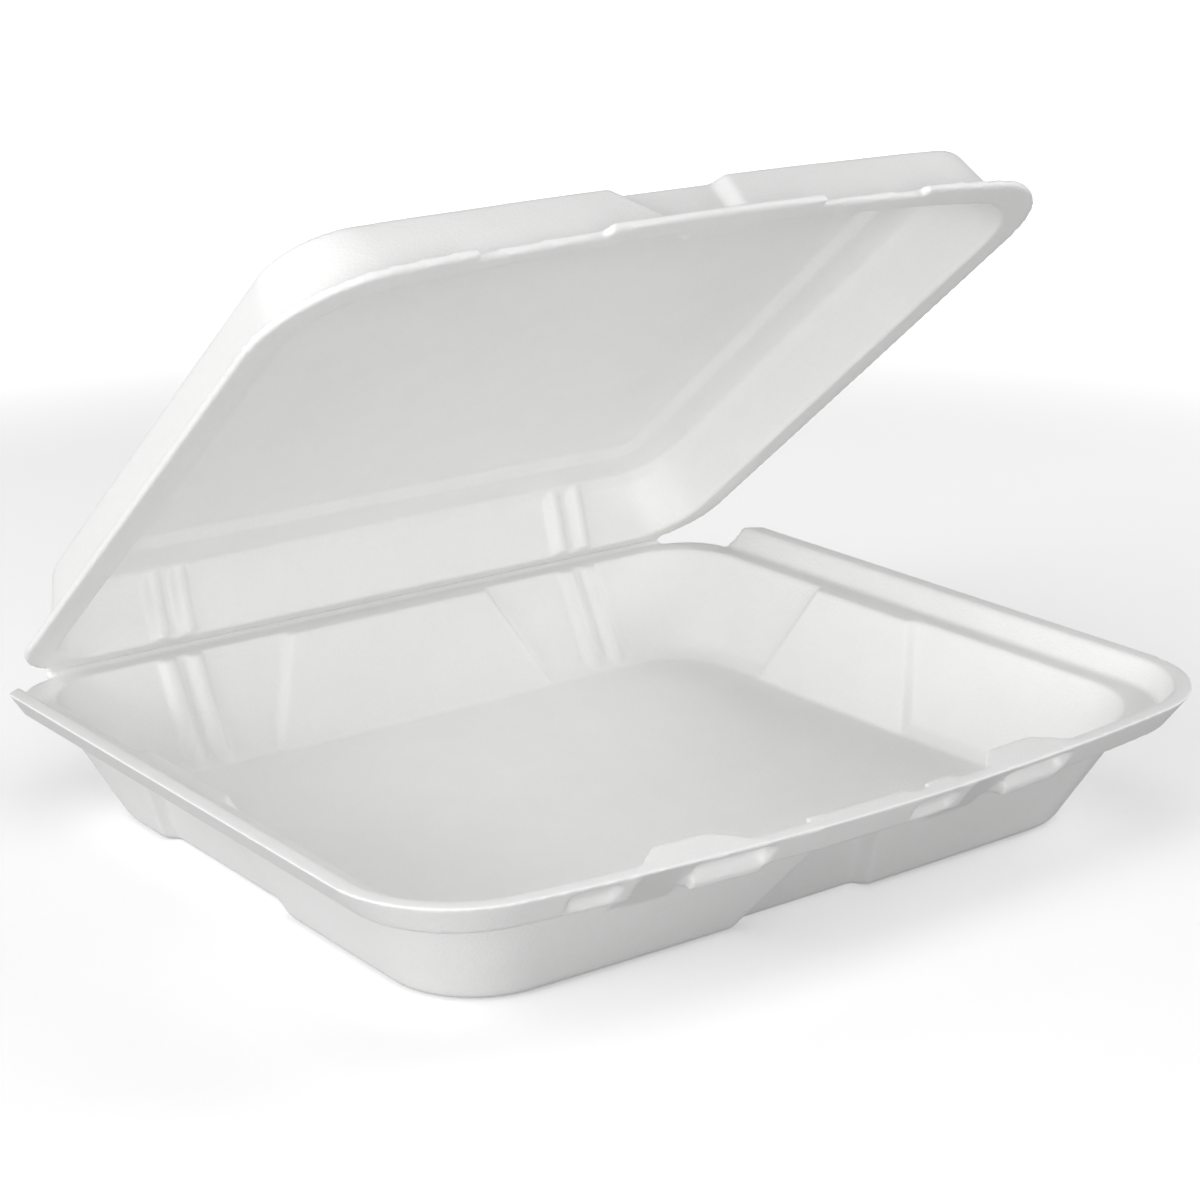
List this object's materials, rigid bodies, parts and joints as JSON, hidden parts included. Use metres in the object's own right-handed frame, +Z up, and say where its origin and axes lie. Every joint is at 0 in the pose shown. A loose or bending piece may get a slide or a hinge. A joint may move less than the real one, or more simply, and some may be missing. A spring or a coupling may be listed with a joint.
{
  "type": "foam hinged lid container",
  "caption": "Wide shallow foam takeaway container in one sheet: a sloping-walled tray with a rim lip and latch hoods, and a raised lid on a fold hinge standing part open.",
  "frame": {"origin": "middle of the underside of the tray's floor, on the table", "axes": "+Z up, -Y towards the front edge with the latches, +X to the container's right seen from the front, fold hinge at the back along X"},
  "size_m": [0.33, 0.2998, 0.2222],
  "materials": {
    "foam": "white expanded polystyrene foam with a smooth satin skin"
  },
  "bodies": {
    "tray": {"tray": "foam"},
    "lid": {"lid": "foam"}
  },
  "joints": [
    {"name": "lid_hinge", "type": "hinge", "parent": "tray", "child": "lid", "pos_m": [0, 0.14, 0.04], "axis": [-1, 0, 0], "range_deg": [-38.5, 141.5]}
  ]
}
